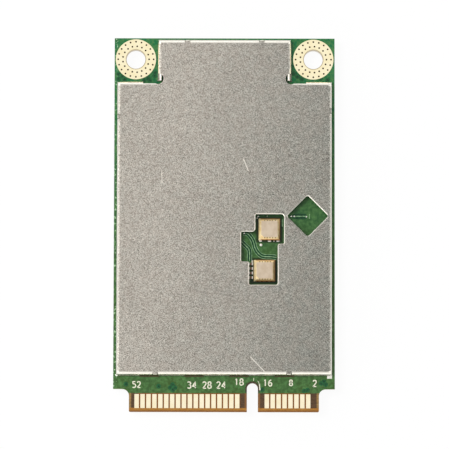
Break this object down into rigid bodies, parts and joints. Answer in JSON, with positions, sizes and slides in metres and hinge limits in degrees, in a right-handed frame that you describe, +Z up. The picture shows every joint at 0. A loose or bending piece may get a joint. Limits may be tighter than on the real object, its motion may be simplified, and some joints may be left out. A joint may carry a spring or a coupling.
{
  "type": "mini card cellular modem",
  "caption": "Full-size plug-in radio card: green board with gold edge contacts and two mounting holes, under folded metal shield covers with a stepped and a diamond window.",
  "frame": {"origin": "centre of the card's outline, on the flat face of the lower shield cover that the card lies on", "axes": "+X across the card towards contact 2, +Y from the edge contacts to the mounting holes, +Z up out of the face of the even contacts"},
  "size_m": [0.03, 0.051, 0.0036],
  "materials": {
    "laminate": "satin",
    "gold": "satin",
    "shield_sheet": "satin",
    "frame_sheet": "satin",
    "solder": "gloss",
    "filter_ceramic": "satin",
    "filter_lid": "satin",
    "moulding": "matte",
    "chip_capacitor": "satin",
    "inductor_body": "matte",
    "receptacle_gold": "polished",
    "receptacle_plastic": "matte"
  },
  "bodies": {
    "root": {"board": "laminate", "contact_fingers_even": "gold", "contact_fingers_odd": "gold", "ground_land_left": "gold", "ground_land_right": "gold", "upper_shield_cover": "shield_sheet", "lower_shield_cover": "shield_sheet", "upper_shield_frame": "frame_sheet", "lower_shield_frame": "frame_sheet", "upper_shield_solder": "solder", "lower_shield_solder": "solder", "band_filter_1_body": "filter_ceramic", "band_filter_1_lid": "filter_lid", "band_filter_2_body": "filter_ceramic", "band_filter_2_lid": "filter_lid", "window_capacitors": "chip_capacitor", "baseband_processor": "moulding", "memory_chip": "moulding", "reference_oscillator": "filter_lid", "power_management_chip": "moulding", "rf_transceiver": "moulding", "upper_capacitors": "chip_capacitor", "receive_filters": "filter_ceramic", "antenna_switch": "moulding", "power_amplifiers": "moulding", "duplexers": "filter_ceramic", "power_inductors": "inductor_body", "bulk_capacitors": "chip_capacitor", "lower_capacitors": "chip_capacitor", "main_antenna_shell": "receptacle_gold", "main_antenna_insulator": "receptacle_plastic", "main_antenna_pin": "receptacle_gold", "gnss_antenna_shell": "receptacle_gold", "gnss_antenna_insulator": "receptacle_plastic", "gnss_antenna_pin": "receptacle_gold", "diversity_antenna_shell": "receptacle_gold", "diversity_antenna_insulator": "receptacle_plastic", "diversity_antenna_pin": "receptacle_gold"}
  },
  "joints": []
}
